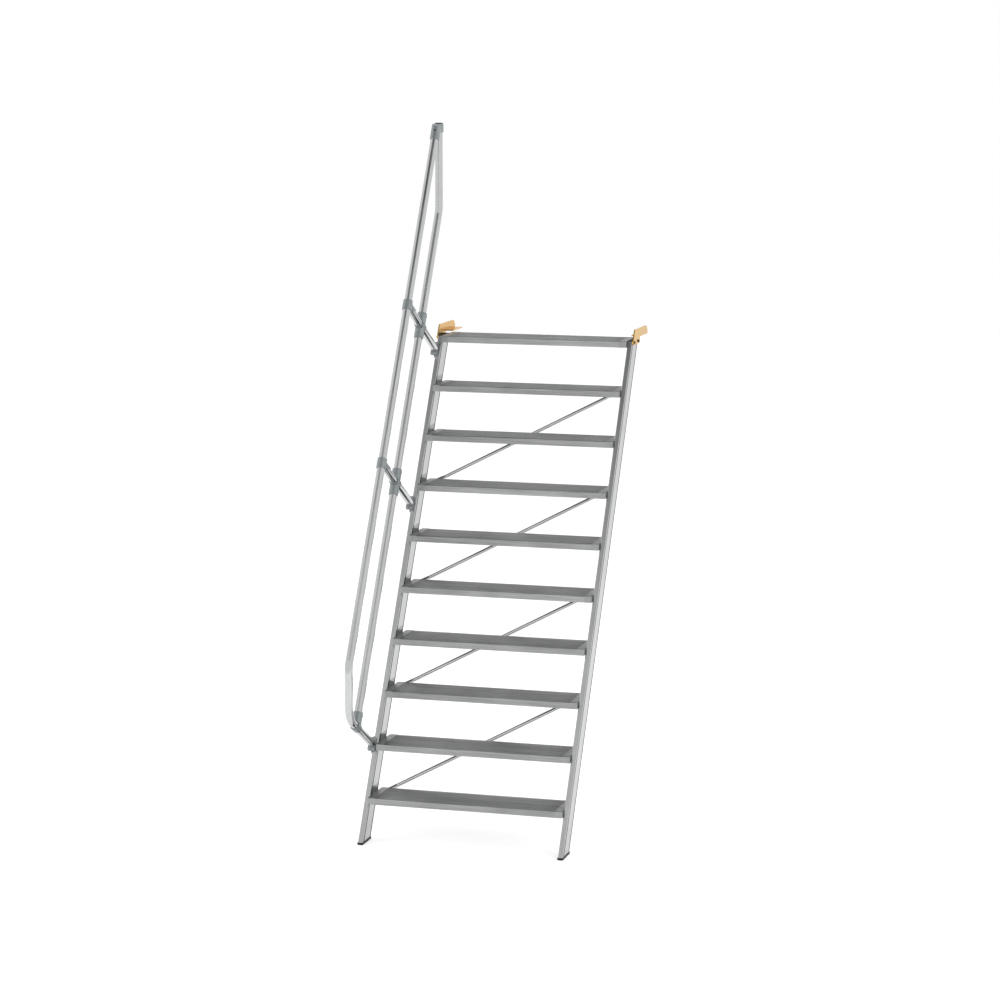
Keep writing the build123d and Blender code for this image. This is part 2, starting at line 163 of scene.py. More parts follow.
class Graph:
    """Thin layer over a node tree that keeps the building code short."""

    def __init__(self, tree: bpy.types.NodeTree) -> None:
        """Wrap a tree.

        Args:
            tree: The node tree to add to.
        """
        self.tree = tree

    def link(self, socket: bpy.types.NodeSocket, node: bpy.types.Node, key: str | int) -> None:
        """Lead a socket into a node.

        Args:
            socket: Where the link starts.
            node: The node it leads to.
            key: Name or number of that node's input.
        """
        self.tree.links.new(socket, node.inputs[key])

    def add(self, kind: str, values: dict[str | int, object] | None = None,
            **settings: object) -> bpy.types.Node:
        """Add a node.

        Args:
            kind: The node's Blender type.
            values: Values or sockets for its inputs, by name or number.
            settings: Properties of the node itself.

        Returns:
            The node.
        """
        node = self.tree.nodes.new(kind)
        for name, value in settings.items():
            setattr(node, name, value)
        for key, value in (values or {}).items():
            if isinstance(value, bpy.types.NodeSocket):
                self.link(value, node, key)
            else:
                node.inputs[key].default_value = value
        return node

    def effect(self, tree: bpy.types.NodeTree, **values: object) -> bpy.types.Node:
        """Place a shared effect.

        Args:
            tree: The effect's node group.
            values: Values or sockets for its named inputs.

        Returns:
            The group node.
        """
        return self.add("ShaderNodeGroup", values, node_tree=tree)

    def math(self, operation: str, first: object, second: object = 0.0,
             third: object = 0.0) -> bpy.types.NodeSocket:
        """Add a Math node.

        Args:
            operation: Which sum it does.
            first: First value or socket.
            second: Second value or socket.
            third: Third value or socket, for the operations that have one.

        Returns:
            Its result.
        """
        node = self.add("ShaderNodeMath", {0: first, 1: second, 2: third}, operation=operation)
        return node.outputs[0]

    def spread(self, value: object, low: object, high: object, to_low: float,
               to_high: float) -> bpy.types.NodeSocket:
        """Add a clamped, smooth Map Range.

        Args:
            value: The value to spread.
            low: Start of its range.
            high: End of its range.
            to_low: What the start becomes.
            to_high: What the end becomes.

        Returns:
            The spread value.
        """
        values = {0: value, 1: low, 2: high, 3: to_low, 4: to_high}
        return self.add("ShaderNodeMapRange", values, interpolation_type="SMOOTHSTEP").outputs[0]

    def blend(self, factor: object, first: object, second: object) -> bpy.types.NodeSocket:
        """Mix two colours.

        Args:
            factor: How much of the second.
            first: First colour or socket.
            second: Second colour or socket.

        Returns:
            The mixed colour.
        """
        values = {0: factor, 6: first, 7: second}
        return self.add("ShaderNodeMix", values, data_type="RGBA").outputs[2]


GroupParts = tuple[bpy.types.NodeTree, Graph, bpy.types.Node, bpy.types.Node]
MaterialParts = tuple[bpy.types.Material, Graph, bpy.types.Node, bpy.types.NodeSocket]
Look = tuple[bpy.types.NodeSocket, bpy.types.NodeSocket]


def shader_group(name: str, inputs: dict[str, float | str], outputs: tuple[str, ...]) -> GroupParts:
    """Start a shader node group.

    Args:
        name: The group's name.
        inputs: Default value of each input, or the word vector for a vector input.
        outputs: Names of its float outputs.

    Returns:
        The group, its graph, its input node and its output node.
    """
    tree = bpy.data.node_groups.new(name, "ShaderNodeTree")
    for label, value in inputs.items():
        if value == "vector":
            tree.interface.new_socket(label, in_out="INPUT", socket_type="NodeSocketVector")
        else:
            socket = tree.interface.new_socket(label, in_out="INPUT", socket_type="NodeSocketFloat")
            socket.default_value = value
    for label in outputs:
        tree.interface.new_socket(label, in_out="OUTPUT", socket_type="NodeSocketFloat")
    graph = Graph(tree)
    return tree, graph, graph.add("NodeGroupInput"), graph.add("NodeGroupOutput")


class Effects:
    """The surface effects that several finishes share, each a node group built once."""

    def __init__(self) -> None:
        """Build the groups."""
        self.grain = self.build_grain()
        self.blotches = self.build_blotches()
        self.scratches = self.build_scratches()
        self.cast_skin = self.build_cast_skin()
        self.dust = self.build_dust()
        self.groove_shade_and_soil = self.build_groove_dirt()

    @staticmethod
    def build_grain() -> bpy.types.NodeTree:
        """Fine lines along the way a piece was drawn: Z of its vector runs along them."""
        inputs = {"Vector": "vector", "Across": 900.0, "Along": 6.0, "Seed": 0.0}
        tree, graph, into, out = shader_group("drawing_lines", inputs, ("Tone", "Height"))
        fine_share, wide_share, wide_scale = 0.6, 0.4, 0.13
        darkest, lightest = 0.32, 0.68
        parts = graph.add("ShaderNodeSeparateXYZ", {0: into.outputs["Vector"]}).outputs
        across = {axis: graph.math("MULTIPLY", parts[axis], into.outputs["Across"])
                  for axis in (0, 1)}
        run = graph.math("MULTIPLY_ADD", parts[2], into.outputs["Along"], into.outputs["Seed"])
        place = graph.add("ShaderNodeCombineXYZ", {**across, 2: run}).outputs[0]
        broad = {"Vector": place, "Scale": wide_scale, "Detail": 2.0}
        fine = graph.add("ShaderNodeTexNoise", {"Vector": place, "Scale": 1.0, "Detail": 3.0})
        wide = graph.add("ShaderNodeTexNoise", broad)
        slow = graph.math("MULTIPLY", wide.outputs[0], wide_share)
        mixed = graph.math("MULTIPLY_ADD", fine.outputs[0], fine_share, slow)
        graph.link(graph.spread(mixed, darkest, lightest, 0.0, 1.0), out, "Tone")
        graph.link(fine.outputs[0], out, "Height")
        return tree

    @staticmethod
    def build_blotches() -> bpy.types.NodeTree:
        """Slow changes of tone from handling and storage."""
        inputs = {"Vector": "vector", "Scale": 4.0, "Seed": 0.0}
        tree, graph, into, out = shader_group("handling_blotches", inputs, ("Tone",))
        darkest, lightest = 0.33, 0.67
        cloud = {"Vector": into.outputs["Vector"], "W": into.outputs["Seed"],
                 "Scale": into.outputs["Scale"], "Detail": 5.0, "Roughness": 0.62}
        noise = graph.add("ShaderNodeTexNoise", cloud, noise_dimensions="4D")
        graph.link(graph.spread(noise.outputs[0], darkest, lightest, 0.0, 1.0), out, "Tone")
        return tree

    @staticmethod
    def build_scratches() -> bpy.types.NodeTree:
        """Sparse short scuffs."""
        inputs = {"Vector": "vector", "Scale": 40.0, "Amount": 0.5}
        tree, graph, into, out = shader_group("scuffs", inputs, ("Mask",))
        squash, slant = 9.0, 4.0
        bare, full = 0.66, 0.76
        parts = graph.add("ShaderNodeSeparateXYZ", {0: into.outputs["Vector"]}).outputs
        thin = graph.math("MULTIPLY", parts[2], squash)
        lean = graph.math("ADD", thin, graph.math("MULTIPLY", parts[0], slant))
        place = graph.add("ShaderNodeCombineXYZ", {0: parts[0], 1: parts[1], 2: lean})
        cloud = {"Vector": place.outputs[0], "Scale": into.outputs["Scale"], "Detail": 4.0,
                 "Roughness": 0.7, "Distortion": 0.4}
        noise = graph.add("ShaderNodeTexNoise", cloud)
        mask = graph.spread(noise.outputs[0], bare, full, 0.0, 1.0)
        graph.link(graph.math("MULTIPLY", mask, into.outputs["Amount"]), out, "Mask")
        return tree

    @staticmethod
    def build_cast_skin() -> bpy.types.NodeTree:
        """Fine grit and shallow pits of a casting or a moulding."""
        inputs = {"Vector": "vector", "Grit": 1400.0, "Pits": 260.0}
        tree, graph, into, out = shader_group("cast_skin", inputs, ("Tone", "Height"))
        grit_share, pit_share, pit_width = 0.5, 0.5, 0.35
        darkest, lightest = 0.3, 0.7
        vector = into.outputs["Vector"]
        grain = {"Vector": vector, "Scale": into.outputs["Grit"], "Detail": 2.0, "Roughness": 0.6}
        grit = graph.add("ShaderNodeTexNoise", grain).outputs[0]
        cells = graph.add("ShaderNodeTexVoronoi", {"Vector": vector, "Scale": into.outputs["Pits"]})
        pits = graph.spread(cells.outputs["Distance"], 0.0, pit_width, 0.0, 1.0)
        height = graph.math("MULTIPLY_ADD", grit, grit_share,
                            graph.math("MULTIPLY", pits, pit_share))
        graph.link(height, out, "Height")
        graph.link(graph.spread(grit, darkest, lightest, 0.0, 1.0), out, "Tone")
        return tree

    @staticmethod
    def build_dust() -> bpy.types.NodeTree:
        """Dust that gathers on faces near the floor, thinning out upwards."""
        inputs = {"Vector": "vector", "Floor": 0.0, "Reach": 0.35}
        tree, graph, into, out = shader_group("floor_dust", inputs, ("Mask",))
        patch_scale, thinnest = 55.0, 0.15
        bare, full = 0.35, 0.7
        parts = graph.add("ShaderNodeSeparateXYZ", {0: into.outputs["Vector"]}).outputs
        above = graph.math("SUBTRACT", parts[2], into.outputs["Floor"])
        share = graph.math("DIVIDE", above, into.outputs["Reach"])
        fade = graph.spread(share, 0.0, 1.0, 1.0, 0.0)
        cloud = {"Vector": into.outputs["Vector"], "Scale": patch_scale, "Detail": 5.0}
        noise = graph.add("ShaderNodeTexNoise", cloud)
        patchy = graph.spread(noise.outputs[0], bare, full, thinnest, 1.0)
        graph.link(graph.math("MULTIPLY", fade, patchy), out, "Mask")
        return tree

    @staticmethod
    def build_groove_dirt() -> bpy.types.NodeTree:
        """Painted shade and some soil in a stringer's two long grooves, told by the depth behind its
        front face.
        """
        inputs = {"Depth": 0.0, "First": 0.015, "Second": 0.101, "Core": 0.003, "Reach": 0.0072}
        tree, graph, into, out = shader_group("groove_shade_and_soil", inputs, ("Mask",))
        depth = into.outputs["Depth"]
        near = [graph.math("ABSOLUTE", graph.math("SUBTRACT", depth, into.outputs[line]))
                for line in ("First", "Second")]
        nearest = graph.math("MINIMUM", near[0], near[1])
        mask = graph.spread(nearest, into.outputs["Core"], into.outputs["Reach"], 1.0, 0.0)
        graph.link(mask, out, "Mask")
        return tree


@dataclass(frozen=True)
class Soiling:
    """How strong the dust, the soil and the painted shade on the extrusions show and where they lie,
    lengths in millimetres.
    """

    dust_depth: float = 0.25
    dust_rough: float = 0.6
    # Painted shade with some soil in the stringers' grooves.
    groove_depth: float = 0.94
    groove_rough: float = 0.4
    # Painted shade on a stringer's inner side above each tread.
    corner_depth: float = 0.5
    corner_full: float = 30.0
    corner_end: float = 42.0
    inner_face: float = 0.3
    inner_end: float = 0.8
    # Painted shade towards the tread ends.
    sweep_depth: float = 0.3
    sweep_reach: float = 90.0
    seam_depth: float = 0.8
    seam_start: float = 3.5
    seam_full: float = 1.0
    tilted: float = 0.4
    level: float = 0.6


EFFECTS = Effects()
LAYOUT = SettingOut()
SOIL_AND_SHADE = Soiling()


def shaded(name: str) -> MaterialParts:
    """Start a material on Object coordinates.

    Args:
        name: The material's name.

    Returns:
        The material, its graph, its Principled shader and its coordinates.
    """
    material = bpy.data.materials.new(name)
    material.use_nodes = True
    graph = Graph(material.node_tree)
    shader = material.node_tree.nodes["Principled BSDF"]
    coordinates = graph.add("ShaderNodeTexCoord").outputs["Object"]
    return material, graph, shader, coordinates


def scaled(colour: Triple, factor: float) -> tuple[float, float, float, float]:
    """Make a colour lighter or darker.

    Args:
        colour: The colour.
        factor: What each of its values is multiplied by.

    Returns:
        The new colour, with its alpha.
    """
    return (colour[0] * factor, colour[1] * factor, colour[2] * factor, 1.0)


@dataclass(frozen=True)
class DrawnAluminium:
    """Extruded or drawn aluminium with lines along its length.

    A tone is a factor of the colour, a depth is how much of an effect shows in the colour, and a
    rough value is how much of it shows in the roughness.
    """

    name: str
    colour: Triple
    roughness: float
    turn: Triple = (0.0, 0.0, 0.0)
    across: float = 900.0
    along: float = 6.0
    tone_depth: float = 0.1
    light_share: float = 0.5
    grain_rough: float = 0.05
    blotch_depth: float = 0.1
    blotch_tone: float = 0.6
    blotch_rough: float = 0.08
    scuff_depth: float = 0.25
    scuff_tone: float = 1.25
    bump: float = 0.00003
    bump_strength: float = 0.5
    dusty: bool = False
    grooved: bool = False
    seamed: bool = False

    @staticmethod
    def aside(graph: Graph, place: bpy.types.NodeSocket) -> bpy.types.NodeSocket:
        """Find how far a point lies from the stair's centre line.

        Args:
            graph: The material's graph.
            place: The point's coordinates.

        Returns:
            The distance in metres.
        """
        parts = graph.add("ShaderNodeSeparateXYZ", {0: place})
        across = graph.math("SUBTRACT", parts.outputs[0], LAYOUT.origin().x)
        return graph.math("ABSOLUTE", across)

    @staticmethod
    def dusted(graph: Graph, place: bpy.types.NodeSocket, look: Look) -> Look:
        """Lay dust on the lowest stretch.

        Args:
            graph: The material's graph.
            place: The point's coordinates.
            look: Colour and roughness so far.

        Returns:
            Colour and roughness with the dust.
        """
        base, rough = look
        dust = graph.effect(EFFECTS.dust, Vector=place, Floor=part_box("left_foot")[0].z)
        settled = graph.math("MULTIPLY", dust.outputs["Mask"], SOIL_AND_SHADE.dust_depth)
        base = graph.blend(settled, base, DUST_COLOUR)
        return base, graph.math("MULTIPLY_ADD", settled, SOIL_AND_SHADE.dust_rough, rough)

    @staticmethod
    def groove_soiled(graph: Graph, place: bpy.types.NodeSocket, look: Look) -> Look:
        """Lay painted shade and some soil in the two long grooves of a stringer.

        Args:
            graph: The material's graph.
            place: The point's coordinates.
            look: Colour and roughness so far.

        Returns:
            Colour and roughness with the shade and soil.
        """
        base, rough = look
        out = LAYOUT.out()
        behind = graph.add("ShaderNodeVectorMath", {0: place, 1: -out}, operation="DOT_PRODUCT")
        front = LAYOUT.place(0.0, 0.0, 0.0).dot(out)
        depth = graph.math("ADD", behind.outputs["Value"], front)
        # Painted shade: the groove mask darkens the colour for the shade in the grooves, with some
        # soil.
        groove_mask = graph.effect(EFFECTS.groove_shade_and_soil, Depth=depth).outputs["Mask"]
        groove_darkening = graph.math("MULTIPLY", groove_mask, SOIL_AND_SHADE.groove_depth)
        base = graph.blend(groove_darkening, base, SHADE_AND_GRIME_COLOUR)
        return base, graph.math("MULTIPLY_ADD", groove_mask, SOIL_AND_SHADE.groove_rough, rough)

    def corner_soiled(self, graph: Graph, place: bpy.types.NodeSocket,
                      base: bpy.types.NodeSocket) -> bpy.types.NodeSocket:
        """Paint shade on a stringer's inner side, in the corner above each tread.

        Args:
            graph: The material's graph.
            place: The point's coordinates.
            base: Colour so far.

        Returns:
            The colour with the painted shade.
        """
        face = LAYOUT.step_width / 2
        inner = graph.spread(self.aside(graph, place), (face + SOIL_AND_SHADE.inner_face) * MM,
                             (face + SOIL_AND_SHADE.inner_end) * MM, 1.0, 0.0)
        first = LAYOUT.place(0.0, 0.0, LAYOUT.first_rise).z
        height = graph.add("ShaderNodeSeparateXYZ", {0: place}).outputs[2]
        climbed = graph.math("SUBTRACT", height, first)
        above = graph.math("FLOORED_MODULO", climbed, LAYOUT.rise * MM)
        low = graph.spread(above, SOIL_AND_SHADE.corner_full * MM, SOIL_AND_SHADE.corner_end * MM, 1.0, 0.0)
        # Painted shade: darkens the inner face just above each tread for the tread's shadow and its
        # dark reflection there.
        corner_shade = graph.math("MULTIPLY", graph.math("MULTIPLY", inner, low), SOIL_AND_SHADE.corner_depth)
        return graph.blend(corner_shade, base, SHADE_AND_GRIME_COLOUR)

    def end_soiled(self, graph: Graph, place: bpy.types.NodeSocket,
                   base: bpy.types.NodeSocket) -> bpy.types.NodeSocket:
        """Darken a tread's level faces towards the seams with its cast ends: painted shade over the
        last stretch, and a dark seam line.

        Args:
            graph: The material's graph.
            place: The point's coordinates.
            base: Colour so far.

        Returns:
            The darkened colour.
        """
        aside = self.aside(graph, place)
        half = LAYOUT.tread_half * MM
        # Painted shade: the level faces grow darker over the last stretch before each cast end, for
        # the shade and dark reflection there.
        end_shade = graph.spread(aside, half - SOIL_AND_SHADE.sweep_reach * MM, half, 0.0,
                             SOIL_AND_SHADE.sweep_depth)
        seam = graph.spread(aside, half - SOIL_AND_SHADE.seam_start * MM, half - SOIL_AND_SHADE.seam_full * MM,
                            0.0, SOIL_AND_SHADE.seam_depth)
        normal = graph.add("ShaderNodeNewGeometry").outputs["True Normal"]
        upward = graph.add("ShaderNodeSeparateXYZ", {0: normal}).outputs[2]
        level = graph.spread(upward, SOIL_AND_SHADE.tilted, SOIL_AND_SHADE.level, 0.0, 1.0)
        dark = graph.math("MULTIPLY", graph.math("MAXIMUM", end_shade, seam), level)
        return graph.blend(dark, base, SHADE_AND_GRIME_COLOUR)

    def material(self) -> bpy.types.Material:
        """Build the finish.

        Returns:
            The material.
        """
        material, graph, shader, place = shaded(self.name)
        turned = graph.add("ShaderNodeMapping", {"Vector": place, "Rotation": self.turn}).outputs[0]
        grain = graph.effect(EFFECTS.grain, Vector=turned, Across=self.across, Along=self.along)
        blotch = graph.effect(EFFECTS.blotches, Vector=place).outputs["Tone"]
        scuff = graph.effect(EFFECTS.scratches, Vector=place).outputs["Mask"]
        base = graph.blend(grain.outputs["Tone"], scaled(self.colour, 1.0 - self.tone_depth),
                           scaled(self.colour, 1.0 + self.tone_depth * self.light_share))
        handled = graph.math("MULTIPLY", blotch, self.blotch_depth)
        base = graph.blend(handled, base, scaled(self.colour, self.blotch_tone))
        scuffed = graph.math("MULTIPLY", scuff, self.scuff_depth)
        base = graph.blend(scuffed, base, scaled(self.colour, self.scuff_tone))
        smoothest = self.roughness - self.blotch_rough / 2
        rough = graph.math("MULTIPLY_ADD", blotch, self.blotch_rough, smoothest)
        rough = graph.math("MULTIPLY_ADD", grain.outputs["Tone"], self.grain_rough, rough)
        if self.dusty:
            base, rough = self.dusted(graph, place, (base, rough))
        # Painted shade with some soil in the grooves, and painted shade above each tread.
        if self.grooved:
            base, rough = self.groove_soiled(graph, place, (base, rough))
            base = self.corner_soiled(graph, place, base)
        # Painted shade towards the tread ends, and the dark seam lines.
        if self.seamed:
            base = self.end_soiled(graph, place, base)
        graph.link(base, shader, "Base Color")
        graph.link(rough, shader, "Roughness")
        shader.inputs["Metallic"].default_value = 1.0
        relief = {"Strength": self.bump_strength, "Distance": self.bump,
                  "Height": grain.outputs["Height"]}
        graph.link(graph.add("ShaderNodeBump", relief).outputs[0], shader, "Normal")
        return material


@dataclass(frozen=True)
class Casting:
    """Cast or moulded piece with a fine grit, its values as for the drawn aluminium."""

    name: str
    colour: Triple
    roughness: float
    metallic: float = 1.0
    specular: float = 0.5
    grit: float = 1400.0
    pits: float = 260.0
    tone_depth: float = 0.12
    blotch_scale: float = 22.0
    blotch_depth: float = 0.15
    blotch_tone: float = 0.55
    blotch_rough: float = 0.12
    bump: float = 0.00012
    bump_strength: float = 0.6

    def material(self) -> bpy.types.Material:
        """Build the finish.

        Returns:
            The material.
        """
        material, graph, shader, place = shaded(self.name)
        skin = graph.effect(EFFECTS.cast_skin, Vector=place, Grit=self.grit, Pits=self.pits)
        blotch = graph.effect(EFFECTS.blotches, Vector=place, Scale=self.blotch_scale)
        tone = blotch.outputs["Tone"]
        gritty = graph.blend(skin.outputs["Tone"], scaled(self.colour, 1.0 - self.tone_depth),
                             scaled(self.colour, 1.0 + self.tone_depth))
        handled = graph.math("MULTIPLY", tone, self.blotch_depth)
        base = graph.blend(handled, gritty, scaled(self.colour, self.blotch_tone))
        smoothest = self.roughness - self.blotch_rough / 2
        rough = graph.math("MULTIPLY_ADD", tone, self.blotch_rough, smoothest)
        graph.link(base, shader, "Base Color")
        graph.link(rough, shader, "Roughness")
        shader.inputs["Metallic"].default_value = self.metallic
        shader.inputs["Specular IOR Level"].default_value = self.specular
        relief = {"Strength": self.bump_strength, "Distance": self.bump,
                  "Height": skin.outputs["Height"]}
        graph.link(graph.add("ShaderNodeBump", relief).outputs[0], shader, "Normal")
        return material


@dataclass(frozen=True)
class PassivatedSteel:
    """Zinc-plated steel with a golden passivated film that drifts in hue."""

    name: str
    colour: Triple
    drift: Triple
    roughness: float
    blotch_scale: float = 16.0
    scuff_depth: float = 0.5
    skin_rough: float = 0.08
    bump: float = 0.00006
    bump_strength: float = 0.4

    def material(self) -> bpy.types.Material:
        """Build the finish.

        Returns:
            The material.
        """
        material, graph, shader, place = shaded(self.name)
        blotch = graph.effect(EFFECTS.blotches, Vector=place, Scale=self.blotch_scale)
        skin = graph.effect(EFFECTS.cast_skin, Vector=place)
        scuff = graph.effect(EFFECTS.scratches, Vector=place)
        film = graph.blend(blotch.outputs["Tone"], scaled(self.colour, 1.0),
                           scaled(self.drift, 1.0))
        scuffed = graph.math("MULTIPLY", scuff.outputs["Mask"], self.scuff_depth)
        base = graph.blend(scuffed, film, BARE_ZINC)
        rough = graph.math("MULTIPLY_ADD", skin.outputs["Tone"], self.skin_rough, self.roughness)
        graph.link(base, shader, "Base Color")
        graph.link(rough, shader, "Roughness")
        shader.inputs["Metallic"].default_value = 1.0
        relief = {"Strength": self.bump_strength, "Distance": self.bump,
                  "Height": skin.outputs["Height"]}
        graph.link(graph.add("ShaderNodeBump", relief).outputs[0], shader, "Normal")
        return material


SLOPE_TURN = (math.radians(30.0), 0.0, 0.0)
ACROSS_TURN = (0.0, math.radians(90.0), 0.0)
TIE_TURN = (0.0, math.radians(64.0), 0.0)

STRINGER = DrawnAluminium("stringer_extrusion", (0.47, 0.475, 0.48), 0.15, turn=SLOPE_TURN,
                          dusty=True, grooved=True)
TREAD = DrawnAluminium("tread_extrusion", (0.37, 0.375, 0.375), 0.36, turn=ACROSS_TURN,
                       across=240.0, tone_depth=0.3, blotch_depth=0.2, seamed=True)
TREAD_END = Casting("tread_end_casting", (0.35, 0.355, 0.355), 0.48, bump=0.00006)
RAIL_TUBE = DrawnAluminium("rail_tube", (0.57, 0.575, 0.58), 0.17, turn=SLOPE_TURN, across=700.0)
TIE_TUBE = DrawnAluminium("tie_tube", (0.62, 0.625, 0.63), 0.12, turn=TIE_TURN)
CONNECTOR = Casting("connector_casting", (0.345, 0.373, 0.382), 0.44)
BRACKET_STEEL = PassivatedSteel("golden_passivated_steel", (0.70, 0.43, 0.08),
                                (0.67, 0.38, 0.11), 0.2)
BLACK_PLASTIC = Casting("black_plastic", (0.012, 0.012, 0.012), 0.5, metallic=0.0, specular=0.25,
                        grit=900.0, bump=0.0002)
CAP_PLASTIC = Casting("cap_plastic", (0.02, 0.021, 0.021), 0.7, metallic=0.0, specular=0.08,
                      grit=900.0, bump=0.0001)
ZINC = Casting("zinc_plated_screw", (0.5, 0.5, 0.49), 0.35, grit=2600.0, pits=900.0, bump=0.00003)
# Painted shade: this dark brown stands for the shade and dark reflections the bolt heads show, not
# for a brown finish.
DARK_BOLT = Casting("shade_darkened_bolt", (0.11, 0.075, 0.05), 0.38, grit=2600.0, pits=900.0,
                    bump=0.00004)


def dress(finish: bpy.types.Material, *nodes: str) -> None:
    """Give carried-over nodes their finish.

    Args:
        finish: The material.
        nodes: Names of the nodes.
    """
    for name in nodes:
        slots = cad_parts[name].data.materials
        slots.clear()
        slots.append(finish)


@dataclass
class FastenerSet:
    """Bolts or screws of one kind, set on points that each know which way they face.

    Sizes are in millimetres, and a taper is a layer's top radius over its bottom radius.
    """

    name: str
    finish: bpy.types.Material
    slot: str
    head: Head = Head.HEXAGON
    across: float = 13.0
    height: float = 5.3
    washer: float = 16.0
    washer_height: float = 1.6
    recess: float = 0.0
    recess_height: float = 0.1
    body_share: float = 0.78
    crown_taper: float = 0.84
    washer_taper: float = 0.96
    recess_taper: float = 0.9
    seed: int = 7
    places: list[tuple[Vector, Vector]] = field(default_factory=list)

    def at(self, point: Vector, facing: Vector) -> None:
        """Add one fastener.

        Args:
            point: Where it sits, in metres.
            facing: The way its head faces.
        """
        self.places.append((point, facing.normalized()))

    def shape(self, graph: Graph, into: bpy.types.NodeOutputs) -> bpy.types.NodeSocket:
        """Build one fastener from turned layers, standing on its seat.

        Args:
            graph: The Geometry Nodes graph.
            into: Outputs of the tree's input node.

        Returns:
            The fastener's geometry.
        """
        parts = graph.add("GeometryNodeJoinGeometry")

        def layer(kind: Head, radius: object, taper: float, height: object, low: object) -> None:
            """Add one layer, from its bottom radius, taper, height and the height it stands at."""
            top = graph.math("MULTIPLY", radius, taper)
            cone = graph.add("GeometryNodeMeshCone", {
                "Vertices": kind.value, "Radius Bottom": radius, "Radius Top": top,
                "Depth": height})
            lift = graph.add("ShaderNodeCombineXYZ", {2: low})
            moved = graph.add("GeometryNodeTransform", {
                "Geometry": cone.outputs["Mesh"], "Translation": lift.outputs[0]})
            graph.link(moved.outputs[0], parts, 0)

        radius, height, seat = into["Head Radius"], into["Head Height"], into["Washer Height"]
        if self.washer:
            layer(Head.ROUND, into["Washer Radius"], self.washer_taper, seat, 0.0)
        body = graph.math("MULTIPLY", height, self.body_share)
        layer(self.head, radius, 1.0, body, seat)
        crown = graph.math("SUBTRACT", height, body)
        layer(self.head, radius, self.crown_taper, crown, graph.math("ADD", seat, body))
        if self.recess:
            rim = graph.math("ADD", seat, height)
            rise = self.recess_height * MM
            layer(Head.HEXAGON, into["Recess Radius"], self.recess_taper, rise, rim)
        return parts.outputs[0]

    def tree(self) -> bpy.types.NodeTree:
        """Build the Geometry Nodes tree that makes one fastener and sets it on every point.

        Returns:
            The tree.
        """
        tree = bpy.data.node_groups.new(self.name + "_tree", "GeometryNodeTree")
        sizes = ("Head Radius", "Head Height", "Washer Radius", "Washer Height", "Recess Radius")
        sockets = (("Geometry", "Geometry"), *((label, "Float") for label in sizes),
                   ("Seed", "Int"), ("Finish", "Material"))
        for label, kind in sockets:
            tree.interface.new_socket(label, in_out="INPUT", socket_type="NodeSocket" + kind)
        tree.interface.new_socket("Geometry", in_out="OUTPUT", socket_type="NodeSocketGeometry")
        graph = Graph(tree)
        into = graph.add("NodeGroupInput").outputs
        fastener = self.shape(graph, into)
        facing = graph.add("GeometryNodeInputNamedAttribute", {"Name": "facing"},
                           data_type="FLOAT_VECTOR").outputs[0]
        lean = graph.add("FunctionNodeAlignRotationToVector", {"Vector": facing}, axis="Z")
        spin = graph.add("FunctionNodeRandomValue", {2: 0.0, 3: math.tau, "Seed": into["Seed"]},
                         data_type="FLOAT")
        turn = graph.add("ShaderNodeCombineXYZ", {2: spin.outputs[1]})
        own = graph.add("FunctionNodeEulerToRotation", {0: turn.outputs[0]})
        both = graph.add("FunctionNodeRotateRotation", {0: lean.outputs[0], 1: own.outputs[0]},
                         rotation_space="LOCAL")
        onto = graph.add("GeometryNodeInstanceOnPoints", {
            "Points": into["Geometry"], "Instance": fastener, "Rotation": both.outputs[0]})
        real = graph.add("GeometryNodeRealizeInstances", {0: onto.outputs[0]})
        flat = graph.add("GeometryNodeSetShadeSmooth", {
            "Geometry": real.outputs[0], "Shade Smooth": False})
        painted = graph.add("GeometryNodeSetMaterial", {
            "Geometry": flat.outputs[0], "Material": into["Finish"]})
        graph.link(painted.outputs[0], graph.add("NodeGroupOutput"), 0)
        return tree

    def inputs(self) -> dict[str, object]:
        """Value of each named input of the tree, in metres."""
        corner = math.cos(math.pi / self.head.value) if self.head is Head.HEXAGON else 1.0
        return {
            "Head Radius": self.across / 2 / corner * MM,
            "Head Height": self.height * MM,
            "Washer Radius": self.washer / 2 * MM,
            "Washer Height": self.washer_height * MM,
            "Recess Radius": self.recess / 2 * MM,
            "Seed": self.seed,
            "Finish": self.finish,
        }

    def build(self) -> bpy.types.Object:
        """Make the whole set as one plain mesh.

        Returns:
            The piece, riding on the stair.
        """
        points = bpy.data.meshes.new(self.name + "_points")
        points.from_pydata([point for point, _ in self.places], [], [])
        facing = points.attributes.new("facing", "FLOAT_VECTOR", "POINT")
        for item, (_, direction) in zip(facing.data, self.places):
            item.vector = direction
        carrier = bpy.data.objects.new(self.name + "_carrier", points)
        bpy.context.scene.collection.objects.link(carrier)
        tree = self.tree()
        modifier = carrier.modifiers.new("set", "NODES")
        modifier.node_group = tree
        values = self.inputs()
        for item in tree.interface.items_tree:
            if item.in_out == "INPUT" and item.name in values:
                modifier[item.identifier] = values[item.name]
        graph = bpy.context.evaluated_depsgraph_get()
        mesh = bpy.data.meshes.new_from_object(carrier.evaluated_get(graph))
        bpy.data.objects.remove(carrier)
        mesh.name = self.name
        mesh.materials.clear()
        mesh.materials.append(self.finish)
        piece = bpy.data.objects.new(self.name, mesh)
        bpy.context.scene.collection.objects.link(piece)
        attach(piece, "root")
        LOG.info("%s: %d pieces, %d triangles", self.name, len(self.places),
                 sum(len(face.vertices) - 2 for face in mesh.polygons))
        return piece


@dataclass
class Stringers:
    """The two raking stringers with their feet and top caps."""

    def build(self) -> None:
        """Dress the stringers, feet and caps, and the guard rail's black plug."""
        stringer, black, cap = STRINGER.material(), BLACK_PLASTIC.material(), CAP_PLASTIC.material()
        for side in Side:
            dress(stringer, f"{side.word}_stringer")
            dress(black, f"{side.word}_foot")
            dress(cap, f"{side.word}_stringer_cap")
            LOG.info("%s stringer, foot and cap dressed", side.word)
        dress(black, "rail_plug")


